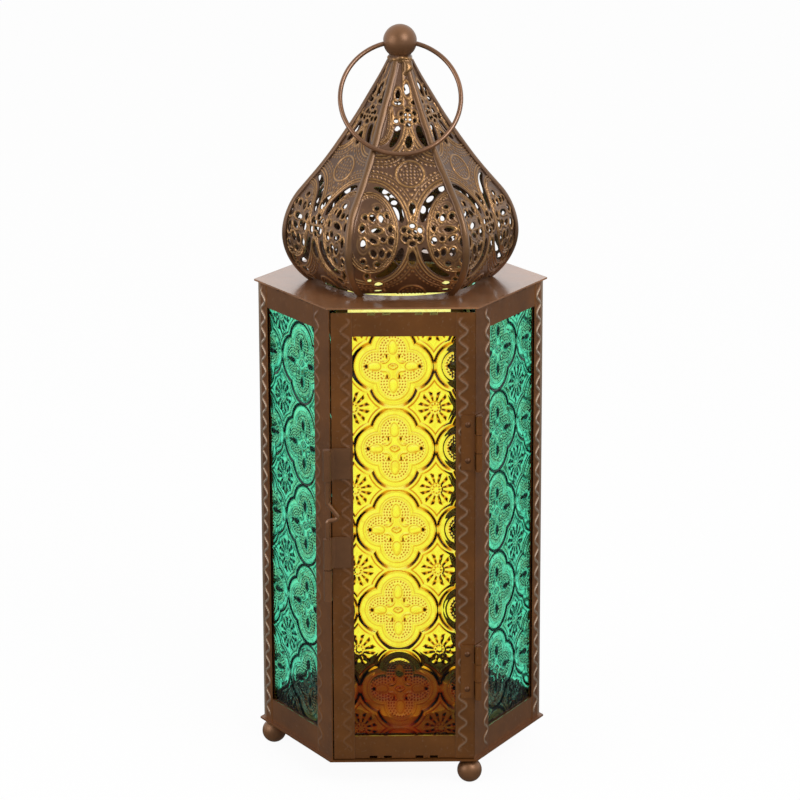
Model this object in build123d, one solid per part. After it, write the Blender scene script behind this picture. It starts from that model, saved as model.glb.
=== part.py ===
from build123d import *
import os
from math import atan2, cos, degrees, radians, sin, sqrt, tan

os.makedirs("parts", exist_ok=True)

# A six-sided candle lantern: glazed body, hinged door with a drop-pin latch, pierced onion dome, carrying ring.
# Millimetres. +Z is up, the floor is z = 0 on the axis, and the door faces -Y.

# Body frame
corner_radius = 50.0      # axis to the outer corner of a post
post_height = 161.0       # from the base plate to the top plate
sheet = 0.6               # wall of the posts, rails, plates and gores
plate_overhang = 0.8      # how far a plate's corner passes the post's corner
post_flange = 6.3         # each leg of a rear or side post
front_post_flange = 10.5  # the single leg of the two posts beside the door
rail_height = 8.5         # visible height of a side rail
rail_end_gap = 0.3        # between the ends of two rails at a corner
rim_height = 3.5          # upturned rim of the base plate, behind the glass
rim_gap = 0.3             # between the rim and the glass tabs
vent_radius = 27.0        # hole in the top plate, just inside the foot of the dome

# Glass and the bent tabs that hold it
glass_thickness = 3.0
glass_gap = 0.1           # between the glass and the metal round it
glass_corner_gap = 0.6    # between a pane's edge and the corner plane
tab_width = 2.7
tab_notch = 0.9           # how deep a tab's notch is cut into the rail's edge
tab_drop = 3.4            # how far a tab reaches over the glass
inner_tab_offset = 5.5    # tabs from the middle of the rail
outer_tab_offset = 10.5

# Door
door_latch_gap = 0.55     # open slit between the door and the left post
door_hinge_gap = 0.25     # between the door and the right post
door_foot_gap = 0.3
door_head_gap = 1.45      # open slit under the top plate
latch_stile_width = 7.2
hinge_stile_width = 6.4
door_rail_height = 8.2
door_rail_inset = 0.3     # ends of the door rails behind the stiles
door_glass_margin = 2.7   # from the door's edge to its glass

# Hinges
hinge_height = 19.3
lower_hinge_z = 32.2      # middle of a hinge above the base plate
upper_hinge_z = 114.3
hinge_reach = 1.75        # corner of the body to the hinge pin
barrel_radius = 1.25
hinge_pin_radius = 0.6
pin_clearance = 0.05
pin_head_radius = 0.95
pin_head_height = 0.4
leaf_sheet = 0.4
leaf_width = 4.6
leaf_gap = 0.3            # between a leaf and the other leaf's knuckles
knuckle_gap = 0.2
rivet_radius = 0.6
rivet_head_radius = 1.0
rivet_head_height = 0.5
rivet_spacing = 12.7

# Latch
latch_reach_side = 0.7    # latch pin outside the body's corner, along the door
latch_reach_front = 2.2   # latch pin in front of the door
latch_wire_radius = 0.75
sleeve_radius = 1.45
sleeve_clearance = 0.1
sleeve_length = 10.9
sleeve_gap = 0.3          # between the lower sleeve and the keeper
lower_sleeve_z = 70.3     # bottom of the lower sleeve above the base plate
sleeve_room = 20.6        # bare pin between the two sleeves
latch_plate_width = 5.4
keeper_plate_width = 3.0
latch_plate_sheet = 0.5
latch_travel = 5.2        # how far the pin drops into the keeper
grip_gap = 0.3            # under the grip when the pin is down
grip_height = 6.4
grip_reach = 4.2
grip_nose = 0.9           # tip of the grip above its lower bend
grip_bend = 1.0

# Dome, measured on the middle of a gore
belly_height = 16.5       # widest place above the top plate
belly_apothem = 35.1
skirt_radius = 21.0       # arc below the belly
shoulder_radius = 25.5    # arc above the belly
shoulder_turn = 37.5      # degrees that the upper arc turns before the hollow flank
spire_height = 77.0       # where the flank would end
spire_apothem = 3.7
tip_cut = 0.4             # gores and ribs are cut off this far below it
gore_lift = 0.9           # light slit under the gores
seam_gap = 0.2            # between two gores
dome_turn = 3.0           # degrees that the dome is set round from the body
rib_half_width = 1.15
rib_sheet = 0.5
rib_gap = 0.06            # solder line between rib and gore

# Finial and ring
ball_radius = 5.8
ball_seat = 4.64          # edge of the neck's seat below the middle of the ball
neck_height = 1.6
neck_flare = 0.5          # how far the neck covers the gores' tips
neck_gap = 0.05
ring_radius = 20.5        # middle of the wire
ring_wire_radius = 0.8
ring_hole_drop = 0.6      # cross hole below the middle of the ball
ring_hole_clearance = 0.12
ring_lean = 31.8          # degrees forward, where the ring lies on the dome

# Feet and candle cup
foot_height = 8.8
foot_radius = 4.3
foot_flat = 0.15          # depth of the worn flat under a foot
foot_inset = 4.0          # middle of a foot inside the body's corner
foot_collar_radius = 2.0
cup_radius = 20.2         # inside of the candle cup
cup_height = 8.0
cup_sheet = 0.5

# Worked-out sizes
half_angle = 30.0
slope = tan(radians(half_angle))
apothem = corner_radius * cos(radians(half_angle))
base_top = foot_height + sheet
ceiling = base_top + post_height
roof = ceiling + sheet
glass_depth = 2 * sheet + glass_gap
tab_depth = glass_depth + glass_thickness + glass_gap
rim_depth = tab_depth + sheet + rim_gap
upper_sleeve_z = lower_sleeve_z + sleeve_length + sleeve_room
gore_top = spire_height - tip_cut
door_foot = base_top + door_foot_gap
door_head = ceiling - door_head_gap
post_inner_corner = corner_radius / 2 - sheet * slope
door_left = door_latch_gap - post_inner_corner
door_right = post_inner_corner - door_hinge_gap
hinge_x = corner_radius / 2 + hinge_reach * sin(radians(half_angle))
hinge_y = -apothem - hinge_reach * cos(radians(half_angle))
latch_x = -corner_radius / 2 - latch_reach_side
latch_y = -apothem - latch_reach_front
ring_sagitta = ring_radius - sqrt(ring_radius**2 - ball_radius**2)
ball_z = roof + gore_top + neck_height + ball_seat
ring_z = ball_z - ring_hole_drop

SIDES = ["front", "front_right", "back_right", "back", "back_left", "front_left"]
CORNERS = ["front_right", "right", "back_right", "back_left", "left", "front_left"]


def save(name, shape):
    """Write one named piece."""
    shape.label = name
    export_step(shape, f"parts/{name}.step")


def block(x0, x1, y0, y1, z0, z1):
    """A box between two corners."""
    return Pos((x0 + x1) / 2, (y0 + y1) / 2, (z0 + z1) / 2) * Box(x1 - x0, y1 - y0, z1 - z0)


def prism(points, z0, z1):
    """A plan outline raised from z0 to z1."""
    return extrude(Pos(0, 0, z0) * make_face(Polyline(*points, close=True)), z1 - z0)


def upright(x, y, radius, z0, z1):
    """An upright cylinder from z0 to z1."""
    return Pos(x, y, (z0 + z1) / 2) * Cylinder(radius, z1 - z0)


def hexagon(face_distance, z0, z1):
    """A six-sided slab whose flat sides stand at face_distance from the axis."""
    corner = face_distance / cos(radians(half_angle))
    places = [(corner * cos(radians(60 * k)), corner * sin(radians(60 * k))) for k in range(6)]
    return prism(places, z0, z1)


def round_to(side, shape):
    """Carry a piece made on the front side round to another side of the body."""
    return Rot(0, 0, 60 * side) * shape


# Plates
def base_plate():
    """A hexagonal sheet with an upturned rim that keeps the panes and the door from falling inwards."""
    plate = hexagon(apothem + plate_overhang, foot_height, base_top)
    rim_face = apothem - rim_depth
    rim = hexagon(rim_face, base_top, base_top + rim_height) - hexagon(rim_face - sheet, base_top, ceiling)
    return plate + rim


def top_plate():
    """A hexagonal sheet with a round vent under the dome."""
    return hexagon(apothem + plate_overhang, ceiling, roof) - upright(0, 0, vent_radius, ceiling, roof)


# Posts and rails
def post_leg(width, end):
    """One leg of a post on the front side, at its left (-1) or right (+1) end, with a mitred corner."""
    outer = corner_radius / 2
    plan = [(outer, 0), (outer - width, 0), (outer - width, sheet), (post_inner_corner, sheet)]
    return prism([(end * x, y - apothem) for x, y in plan], base_top, ceiling)


def posts():
    """Four bent angle strips, and a single strip on each side of the door."""
    made = {}
    for corner, name in enumerate(CORNERS):
        before = round_to(corner, post_leg(front_post_flange if corner == 5 else post_flange, 1))
        after = round_to(corner + 1, post_leg(front_post_flange if corner == 0 else post_flange, -1))
        if name == "front_right":
            made[name] = after
        elif name == "front_left":
            made[name] = before
        else:
            made[name] = before + after
    return made


def tabbed_rail(x0, x1, z0, z1, tab_edge):
    """A flat rail. On its tab_edge, the lower (-1) or upper (+1) one, four tabs are bent in over the glass."""
    rail = block(x0, x1, sheet - apothem, 2 * sheet - apothem, z0, z1)
    edge = z1 if tab_edge > 0 else z0
    fold = edge - tab_edge * tab_notch
    for x in (-outer_tab_offset, -inner_tab_offset, inner_tab_offset, outer_tab_offset):
        left, right = x - tab_width / 2, x + tab_width / 2
        low, high = sorted((edge, fold))
        rail -= block(left, right, sheet - apothem, 2 * sheet - apothem, low, high)
        low, high = sorted((fold, fold - tab_edge * sheet))
        rail += block(left, right, sheet - apothem, tab_depth + sheet - apothem, low, high)
        low, high = sorted((fold, fold - tab_edge * tab_drop))
        rail += block(left, right, tab_depth - apothem, tab_depth + sheet - apothem, low, high)
    return rail


def side_rails():
    """The upper rail, with tabs, and the plain lower rail of a side."""
    half = (apothem - 2 * sheet) * slope - rail_end_gap
    upper = tabbed_rail(-half, half, ceiling - rail_height, ceiling, 1)
    lower = block(-half, half, sheet - apothem, 2 * sheet - apothem, base_top, base_top + rail_height)
    return upper, lower


def tab_room():
    """From the edge of a rail to the edge of the glass behind it."""
    return tab_notch + sheet + glass_gap


def side_pane():
    """A pane that stands on the base plate and reaches up under the tabs."""
    half = (apothem - glass_depth - glass_thickness) * slope - glass_corner_gap
    front = glass_depth - apothem
    return block(-half, half, front, front + glass_thickness, base_top, ceiling - tab_room())


# Door
def door_stile(x0, x1):
    """An upright strip of the door."""
    return block(x0, x1, -apothem, sheet - apothem, door_foot, door_head)


def door_rails():
    """The door's upper and lower rails, both with tabs."""
    x0, x1 = door_left + door_rail_inset, door_right - door_rail_inset
    upper = tabbed_rail(x0, x1, door_head - door_rail_height, door_head, 1)
    lower = tabbed_rail(x0, x1, door_foot, door_foot + door_rail_height, -1)
    return upper, lower


def door_pane():
    """The door's pane, held between the tabs of its two rails."""
    front = glass_depth - apothem
    x0, x1 = door_left + door_glass_margin, door_right - door_glass_margin
    return block(x0, x1, front, front + glass_thickness, door_foot + tab_room(), door_head - tab_room())


# Hinges
leaf_root = hinge_x - barrel_radius - leaf_gap
rivet_x = leaf_root - leaf_width / 2


def hinge_leaf(middle, knuckles):
    """A leaf on the door: a plate, and a rolled knuckle round the pin at each (low, high) of knuckles."""
    plate_front = -apothem - leaf_sheet
    low, high = middle - hinge_height / 2, middle + hinge_height / 2
    leaf = block(leaf_root - leaf_width, leaf_root, plate_front, -apothem, low, high)
    web = [(leaf_root, -apothem), (hinge_x - leaf_gap, -apothem), (hinge_x, hinge_y + barrel_radius),
           (hinge_x, hinge_y), (hinge_x - barrel_radius, hinge_y), (leaf_root, plate_front)]
    for z0, z1 in knuckles:
        leaf += prism(web, z0, z1) + upright(hinge_x, hinge_y, barrel_radius, z0, z1)
    return leaf - upright(hinge_x, hinge_y, hinge_pin_radius + pin_clearance, low, high)


def hinge(middle):
    """Door leaf with the middle knuckle, post leaf with the outer two, and the pin."""
    low, high = middle - hinge_height / 2, middle + hinge_height / 2
    third = hinge_height / 3
    door_leaf = hinge_leaf(middle, [(low + third + knuckle_gap / 2, high - third - knuckle_gap / 2)])
    ends = [(low, low + third - knuckle_gap / 2), (high - third + knuckle_gap / 2, high)]
    mirror_plane = Plane((0, 0, 0), z_dir=(cos(radians(half_angle)), sin(radians(half_angle)), 0))
    post_leaf = mirror(hinge_leaf(middle, ends), about=mirror_plane)
    pin = upright(hinge_x, hinge_y, hinge_pin_radius, low, high)
    pin += upright(hinge_x, hinge_y, pin_head_radius, low - pin_head_height, low)
    pin += upright(hinge_x, hinge_y, pin_head_radius, high, high + pin_head_height)
    for z in rivet_heights(middle):
        door_leaf -= rivet_shank(z, rivet_radius + pin_clearance)
    return door_leaf, post_leaf, pin


def rivet_heights(middle):
    """Heights of a hinge's two rivets."""
    return [middle - rivet_spacing / 2, middle + rivet_spacing / 2]


def rivet_shank(z, radius):
    """The shank of a rivet through the leaf and the stile."""
    depth = leaf_sheet + sheet
    return Pos(rivet_x, -apothem - leaf_sheet + depth / 2, z) * Rot(90, 0, 0) * Cylinder(radius, depth)


def rivet(z):
    """A rivet with a domed head outside and a flat one inside."""
    dome = (rivet_head_radius**2 + rivet_head_height**2) / (2 * rivet_head_height)
    face = -apothem - leaf_sheet
    cap = Pos(rivet_x, face + dome - rivet_head_height, z) * Sphere(dome)
    cap &= block(rivet_x - dome, rivet_x + dome, face - rivet_head_height, face, z - dome, z + dome)
    tail_face = sheet - apothem
    tail = Pos(rivet_x, tail_face + rivet_head_height / 2, z) * Rot(90, 0, 0)
    return cap + rivet_shank(z, rivet_radius) + tail * Cylinder(rivet_head_radius, rivet_head_height)


# Latch
def sleeve(z0, plate_width):
    """A plate on the door whose edge is rolled into a sleeve for the latch pin."""
    z1 = z0 + sleeve_length
    face = -apothem
    edge = door_left + sleeve_radius - latch_plate_sheet
    roll = sleeve_radius - latch_plate_sheet / 2
    plate = block(edge, edge + plate_width, face - latch_plate_sheet, face, z0, z1)
    strap = [(edge, face), (edge, face - latch_plate_sheet), (latch_x + roll, latch_y + latch_plate_sheet),
             (latch_x + roll / 2, latch_y + roll)]
    body = plate + prism(strap, z0, z1) + upright(latch_x, latch_y, sleeve_radius, z0, z1)
    return body - upright(latch_x, latch_y, latch_wire_radius + sleeve_clearance, z0, z1)


def keeper():
    """The sleeve on the left post, under the door's lower one, that the pin drops into."""
    z1 = base_top + lower_sleeve_z - sleeve_gap
    z0 = z1 - sleeve_length
    along = Vector(-sin(radians(half_angle)), cos(radians(half_angle)))
    out = Vector(-cos(radians(half_angle)), -sin(radians(half_angle)))
    corner = Vector(-corner_radius / 2, -apothem)
    near = corner + along * (sleeve_radius / 2)
    far = near + along * keeper_plate_width
    centre = Vector(latch_x, latch_y)
    roll = sleeve_radius - latch_plate_sheet / 2
    plate = [near, far, far + out * latch_plate_sheet, near + out * latch_plate_sheet]
    strap = [near, near + out * latch_plate_sheet, centre + along * roll, centre + Vector(0, roll)]
    body = upright(latch_x, latch_y, sleeve_radius, z0, z1)
    for plan in (plate, strap):
        body += prism([(p.X, p.Y) for p in plan], z0, z1)
    return body - upright(latch_x, latch_y, latch_wire_radius + sleeve_clearance, z0, z1)


def latch_pin():
    """A wire pin, drawn up clear of the keeper, with a V-shaped finger grip bent into it."""
    foot = base_top + lower_sleeve_z
    grip = foot + sleeve_length + latch_wire_radius + grip_gap + latch_travel
    top = base_top + upper_sleeve_z + sleeve_length
    line = FilletPolyline((latch_x, latch_y, foot), (latch_x, latch_y, grip),
                          (latch_x + grip_reach, latch_y, grip + grip_nose),
                          (latch_x, latch_y, grip + grip_height), (latch_x, latch_y, top), radius=grip_bend)
    return sweep(Pos(latch_x, latch_y, foot) * Circle(latch_wire_radius), path=line)


# Dome
shoulder_normal = Vector(cos(radians(shoulder_turn)), sin(radians(shoulder_turn)))
skirt_centre = Vector(belly_apothem - skirt_radius, belly_height)
shoulder_centre = Vector(belly_apothem - shoulder_radius, belly_height)
shoulder_end = shoulder_centre + shoulder_normal * shoulder_radius
spire_tip = Vector(spire_apothem, spire_height)
flank_chord = shoulder_end - spire_tip
flank_radius = flank_chord.length**2 / (-2 * shoulder_normal.dot(flank_chord))
flank_centre = shoulder_end + shoulder_normal * flank_radius


def ogee(inset):
    """The three tangent arcs of a gore, on its middle, moved inwards by inset: skirt, shoulder and flank."""
    drop = belly_height + sheet
    skirt_turn = degrees(atan2(drop, sqrt(skirt_radius**2 - drop**2)))
    flank_start = 180 + shoulder_turn
    to_tip = spire_tip - flank_centre
    flank_turn = degrees(atan2(to_tip.Y, to_tip.X)) % 360 - flank_start
    return [CenterArc(skirt_centre, skirt_radius - inset, -skirt_turn, skirt_turn),
            CenterArc(shoulder_centre, shoulder_radius - inset, 0, shoulder_turn),
            CenterArc(flank_centre, flank_radius + inset, flank_start, flank_turn)]


def gore_reach(height):
    """Distance of a gore's outer face from the axis at a height above the top plate."""
    if height < belly_height:
        return skirt_centre.X + sqrt(skirt_radius**2 - (height - belly_height)**2)
    if height < shoulder_end.Y:
        return shoulder_centre.X + sqrt(shoulder_radius**2 - (height - belly_height)**2)
    return flank_centre.X - sqrt(flank_radius**2 - (height - flank_centre.Y)**2)


def curved_sheet(outer, inner):
    """A gore's profile between two insets, drawn out wide along the gore."""
    a, b = ogee(outer), ogee(inner)
    ends = [Line(a[0] @ 0, b[0] @ 0), Line(a[2] @ 1, b[2] @ 1)]
    profile = make_face(a + b + ends)
    return Pos(0, 0, roof) * extrude(Plane.XZ * profile, amount=belly_apothem, both=True)


def lozenge(width, height):
    """A pointed six-sided punch."""
    shoulder = height / 4
    return make_face(Polyline((0, -height / 2), (width / 2, -shoulder), (width / 2, shoulder), (0, height / 2),
                              (-width / 2, shoulder), (-width / 2, -shoulder), close=True))


# Punches: width and height. Each place is a share of the half width, a share of the gore's height and a tilt.
spire_punch = (1.5, 2.5)
tear_punch = (1.5, 3.8)
wing_punch = (2.0, 3.4)
lace_punch = (1.7, 2.0)
seed_punch = (1.2, 1.3)
corner_punch = (2.6, 3.8)
foot_punch = (2.0, 3.0)
PUNCHES = [
    (spire_punch, [(0.0, 0.905, 0), (0.30, 0.855, 0), (0.33, 0.808, 0), (0.34, 0.760, 0)]),
    (tear_punch, [(0.52, 0.712, 20)]),
    (wing_punch, [(0.56, 0.565, 90)]),
    (lace_punch, [(0.62, 0.425, 0), (0.50, 0.365, 0), (0.73, 0.365, 0), (0.44, 0.305, 0), (0.61, 0.305, 0),
                  (0.78, 0.305, 0), (0.50, 0.245, 0), (0.73, 0.245, 0), (0.62, 0.185, 0)]),
    (seed_punch, [(0.0, 0.345, 0), (0.14, 0.325, 0), (0.14, 0.285, 0), (0.0, 0.265, 0), (0.0, 0.305, 0)]),
    (corner_punch, [(0.56, 0.075, 60)]),
    (foot_punch, [(0.0, 0.090, 0), (0.18, 0.075, -25)]),
    (seed_punch, [(0.0, 0.565, 0), (0.16, 0.600, 0), (0.16, 0.530, 0)]),
]


# Crescent slits: four arms that leave the rosette and bend round the lace panels
rosette_height = 22.0
panel_share = 0.73        # middle of a lace panel, as a share of the half width
panel_radius = 10.0
slit_inset = 1.4          # from the panel's border to the slit
slit_width = 2.1
slit_start = 24           # degrees round the panel, from the rosette
slit_turn = 38


def slit(across, hand, rise):
    """One crescent slit, a stretch of a ring round the lace panel on a hand (-1 or 1), above or below the rosette."""
    middle = Vector(hand * across, roof + rosette_height)
    start = (180 if hand > 0 else 0) - hand * rise * slit_start
    turn = -hand * rise * slit_turn
    inner = CenterArc(middle, panel_radius + slit_inset, start, turn)
    outer = CenterArc(middle, panel_radius + slit_inset + slit_width, start, turn)
    return make_face([inner, outer, Line(inner @ 0, outer @ 0), Line(inner @ 1, outer @ 1)])


def piercing():
    """Every opening of a gore, on both halves, as bars along the gore's outward direction."""
    panel = panel_share * (gore_reach(rosette_height) * slope - rib_half_width)
    outlines = [slit(panel, hand, rise) for hand in (-1, 1) for rise in (-1, 1)]
    for (width, height), places in PUNCHES:
        for share, level, tilt in places:
            up = level * gore_top
            across = share * (gore_reach(up) * slope - rib_half_width)
            for hand in ([1, -1] if share else [1]):
                outlines.append(Pos(hand * across, roof + up) * Rot(0, 0, hand * tilt) * lozenge(width, height))
    return [extrude(Plane.YZ * outline, amount=belly_apothem + sheet) for outline in outlines]


def gore():
    """One pierced gore of the dome, facing +X: a curved sheet cut to a sixth of the round."""
    reach = 2 * belly_apothem
    start = seam_gap / 2 / sin(radians(half_angle))
    wedge = prism([(start, 0), (reach, (reach - start) * slope), (reach, -(reach - start) * slope)],
                  roof + gore_lift, roof + gore_top)
    return (curved_sheet(0, sheet) & wedge) - piercing()


def rib():
    """A bent strip over the seam at +30 degrees, standing on the top plate."""
    reach = 2 * belly_apothem
    along = (cos(radians(half_angle)), sin(radians(half_angle)))
    across = (sin(radians(half_angle)) * rib_half_width, -cos(radians(half_angle)) * rib_half_width)
    strip = prism([(0, 0), (reach * along[0], reach * along[1]),
                   (reach * along[0] + across[0], reach * along[1] + across[1]), across], roof, roof + gore_top)
    half = curved_sheet(-rib_gap - rib_sheet, -rib_gap) & strip
    seam = Plane((0, 0, 0), z_dir=(-along[1], along[0], 0))
    return half + mirror(half, about=seam)


# Finial, ring, feet and cup
def finial_neck():
    """A flared collar of solder over the tips of the gores, with a round seat for the ball."""
    z0 = roof + gore_top + neck_gap
    z1 = ball_z - ball_seat
    foot = gore_reach(gore_top) / cos(radians(half_angle)) + neck_flare
    top = sqrt(ball_radius**2 - ball_seat**2)
    collar = Pos(0, 0, (z0 + z1) / 2) * Cone(foot, top, z1 - z0)
    return collar - Pos(0, 0, ball_z) * Sphere(ball_radius + neck_gap)


def ball_finial():
    """A ball with a cross hole for the ring."""
    bore = ring_wire_radius + ring_sagitta / 2 + ring_hole_clearance
    hole = Pos(0, 0, ring_z) * Rot(0, 90, 0) * Cylinder(bore, 2 * ball_radius)
    return Pos(0, 0, ball_z) * Sphere(ball_radius) - hole


def ring_handle():
    """A wire ring through the ball, leaning forward on the dome."""
    hanging = Pos(0, 0, ring_sagitta / 2 - ring_radius) * Rot(90, 0, 0) * Torus(ring_radius, ring_wire_radius)
    return Pos(0, 0, ring_z) * Rot(-ring_lean, 0, 0) * hanging


def foot(angle):
    """A ball foot with a soldered collar, under a corner of the body."""
    reach = corner_radius - foot_inset
    middle = foot_radius - foot_flat
    ball = Pos(0, 0, middle) * Sphere(foot_radius) + upright(0, 0, foot_collar_radius, middle, foot_height)
    ball &= upright(0, 0, foot_radius, 0, foot_height)
    return Pos(reach * cos(radians(angle)), reach * sin(radians(angle)), 0) * ball


def candle_cup():
    """A shallow cup for a candle, standing on the base plate."""
    outside = upright(0, 0, cup_radius + cup_sheet, base_top, base_top + cup_height)
    return outside - upright(0, 0, cup_radius, base_top + cup_sheet, base_top + cup_height)


save("base_plate", base_plate())
save("top_plate", top_plate())
for name, shape in posts().items():
    save(f"post_{name}", shape)
upper_rail, lower_rail = side_rails()
pane = side_pane()
for side in range(1, 6):
    save(f"top_rail_{SIDES[side]}", round_to(side, upper_rail))
    save(f"bottom_rail_{SIDES[side]}", round_to(side, lower_rail))
    save(f"glass_{SIDES[side]}", round_to(side, pane))

hinge_heights = {"lower": base_top + lower_hinge_z, "upper": base_top + upper_hinge_z}
hinge_stile = door_stile(door_right - hinge_stile_width, door_right)
hinge_pins = []
rivets = []
for name, middle in hinge_heights.items():
    door_leaf, post_leaf, pin = hinge(middle)
    save(f"hinge_{name}_door_leaf", door_leaf)
    save(f"hinge_{name}_post_leaf", post_leaf)
    hinge_pins.append(pin)
    for z in rivet_heights(middle):
        hinge_stile -= rivet_shank(z, rivet_radius + pin_clearance)
        rivets.append(rivet(z))
save("hinge_pins", Compound(hinge_pins))
save("hinge_rivets", Compound(rivets))

door_upper_rail, door_lower_rail = door_rails()
save("door_latch_stile", door_stile(door_left, door_left + latch_stile_width))
save("door_hinge_stile", hinge_stile)
save("door_top_rail", door_upper_rail)
save("door_bottom_rail", door_lower_rail)
save("door_glass", door_pane())

save("latch_upper_sleeve", sleeve(base_top + upper_sleeve_z, latch_plate_width))
save("latch_lower_sleeve", sleeve(base_top + lower_sleeve_z, latch_plate_width))
save("latch_keeper", keeper())
save("latch_pin", latch_pin())

one_gore = gore()
one_rib = rib()
for side in range(6):
    turn = Rot(0, 0, 60 * side - 90 + dome_turn)
    save(f"gore_{SIDES[side]}", turn * one_gore)
    save(f"rib_{CORNERS[side]}", turn * one_rib)
save("finial_neck", finial_neck())
save("ball_finial", ball_finial())
save("ring_handle", ring_handle())

for name, angle in {"left": 180, "front_right": 300, "back_right": 60}.items():
    save(f"foot_{name}", foot(angle))
save("candle_cup", candle_cup())
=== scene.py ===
import math

import bpy
import numpy as np
from mathutils import Matrix, Vector


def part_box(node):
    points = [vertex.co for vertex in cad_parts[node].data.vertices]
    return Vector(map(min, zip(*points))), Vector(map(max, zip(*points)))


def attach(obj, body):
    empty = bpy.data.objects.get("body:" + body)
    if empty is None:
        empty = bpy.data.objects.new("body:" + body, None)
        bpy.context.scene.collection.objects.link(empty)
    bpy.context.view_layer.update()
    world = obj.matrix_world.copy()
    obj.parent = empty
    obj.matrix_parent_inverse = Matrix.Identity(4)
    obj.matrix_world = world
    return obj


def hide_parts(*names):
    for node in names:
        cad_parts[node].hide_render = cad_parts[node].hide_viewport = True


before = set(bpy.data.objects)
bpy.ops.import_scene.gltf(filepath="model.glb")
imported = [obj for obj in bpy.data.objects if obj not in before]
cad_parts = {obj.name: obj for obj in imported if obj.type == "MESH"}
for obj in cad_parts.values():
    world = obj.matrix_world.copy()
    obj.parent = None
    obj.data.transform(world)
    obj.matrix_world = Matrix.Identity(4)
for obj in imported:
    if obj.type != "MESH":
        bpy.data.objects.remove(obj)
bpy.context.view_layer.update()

# Lengths are in millimetres until a mesh is made, in the frame's axes: +Z up, the door towards -Y.
MM = 0.001
SIDES = ["front", "front_right", "back_right", "back", "back_left", "front_left"]
CORNERS = ["front_right", "right", "back_right", "back_left", "left", "front_left"]
SLOPE = math.tan(math.radians(30))
CREASE = math.radians(40)  # sharper edges stay sharp
FAR = 9.0                 # past any line or hole


def box_mm(node):
    """Lowest and highest corner of a CAD node."""
    low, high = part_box(node)
    return np.array(low) / MM, np.array(high) / MM


# Sizes taken from the frame
stile_low, stile_high = box_mm("door_latch_stile")
apothem = -stile_low[1]
sheet = stile_high[1] - stile_low[1]
corner_radius = apothem / math.cos(math.radians(30))
base_top = box_mm("post_left")[0][2]
ceiling = box_mm("post_left")[1][2]
roof = box_mm("top_plate")[1][2]
gore_top = box_mm("gore_front")[1][2] - roof
gore_foot = box_mm("gore_front")[0][2] - roof

# Ogee of a gore, on its middle, measured from the axis and the top plate
belly_height = 16.5
belly_apothem = 35.1
skirt_radius = 21.0
shoulder_radius = 25.5
shoulder_turn = math.radians(37.5)
spire_height = 77.0
spire_apothem = 3.7
dome_turn = 3.0           # degrees
seam_gap = 0.2
gore_start = -0.35        # the back gores stand in the top plate
rib_half_width = 1.45
rib_crown = 0.45
neck_bore = 2.2           # radius

# Embossed wave on the posts and stiles, and the fall of their free edges
wave_length = 6.35
wave_swing = 1.35
wave_from_edge = 2.45
wave_zone = 4.8           # finely divided
wave_width = 0.62
wave_height = 0.36
edge_fall = 0.22

# Pressed pattern of the glass, its lobes, petals and pits in units of a square motif
motif_width = 27.7
motif_height = 28.8
motif = 27.6
lobe_middle = 5.7
lobe_radius = 7.95
petal_middle = 6.4
pit_row = 0.92
relief_depth = 0.38


# Meshes
def grid_quads(rows, columns, close_columns=False):
    """Quads of a grid of points numbered row by row, closed on itself along its rows where asked."""
    index = np.arange(rows * columns).reshape(rows, columns)
    if close_columns:
        index = np.hstack([index, index[:, :1]])
    return np.stack([index[:-1, :-1], index[:-1, 1:], index[1:, 1:], index[1:, :-1]], -1).reshape(-1, 4)


def put(name, points, polygons, body, finish, slot, stands_for=(), **marks):
    """Make one piece from points in millimetres and arrays of polygons, with named values for its finish, one for
    each point or for each corner of a polygon. It rides a body and may stand for CAD nodes."""
    mesh = bpy.data.meshes.new(name)
    corners = np.concatenate([np.asarray(p).ravel() for p in polygons])
    counts = np.concatenate([np.full(len(p), np.asarray(p).shape[1]) for p in polygons])
    mesh.vertices.add(len(points))
    mesh.vertices.foreach_set("co", (np.asarray(points) * MM).astype(np.float32).ravel())
    mesh.loops.add(len(corners))
    mesh.loops.foreach_set("vertex_index", corners.astype(np.int32))
    mesh.polygons.add(len(counts))
    mesh.polygons.foreach_set("loop_start", (np.cumsum(counts) - counts).astype(np.int32))
    mesh.update(calc_edges=True)
    mesh.validate()
    mesh.shade_smooth()
    mesh.set_sharp_from_angle(angle=CREASE)
    for mark, values in marks.items():
        domain = "POINT" if np.size(values) == len(points) else "CORNER"
        mesh.attributes.new(mark, "FLOAT", domain).data.foreach_set("value", np.asarray(values, np.float32).ravel())
    mesh.materials.append(finish)
    made = bpy.data.objects.new(name, mesh)
    bpy.context.collection.objects.link(made)
    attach(made, body)
    if stands_for:
        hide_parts(*stands_for)


def turned(points, degrees_round):
    """Points turned about the upright axis."""
    a = math.radians(degrees_round)
    turn = np.array([[math.cos(a), -math.sin(a), 0], [math.sin(a), math.cos(a), 0], [0, 0, 1]])
    return points @ turn.T


def ridge(distance, width):
    """A rounded raised line: one on the line, smoothly down to nothing at width from it."""
    return np.clip(1 - (distance / width) ** 2, 0, None) ** 2


def step_up(value, low, high):
    """Smooth step from nothing at low to one at high."""
    share = np.clip((value - low) / (high - low), 0, 1)
    return share * share * (3 - 2 * share)


# Materials
class Value:
    """One output of a shader node. Sums on it add the Math nodes that work them out."""

    def __init__(self, recipe, output):
        self.recipe = recipe
        self.output = output

    def math(self, operation, first, second):
        return self.recipe.add("ShaderNodeMath", {"operation": operation}, {0: first, 1: second})

    def __add__(self, other):
        return self.math("ADD", self, other)

    def __sub__(self, other):
        return self.math("SUBTRACT", self, other)

    def __rsub__(self, other):
        return self.math("SUBTRACT", other, self)

    def __mul__(self, other):
        return self.math("MULTIPLY", self, other)

    def least(self, other):
        return self.math("MINIMUM", self, other)


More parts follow.
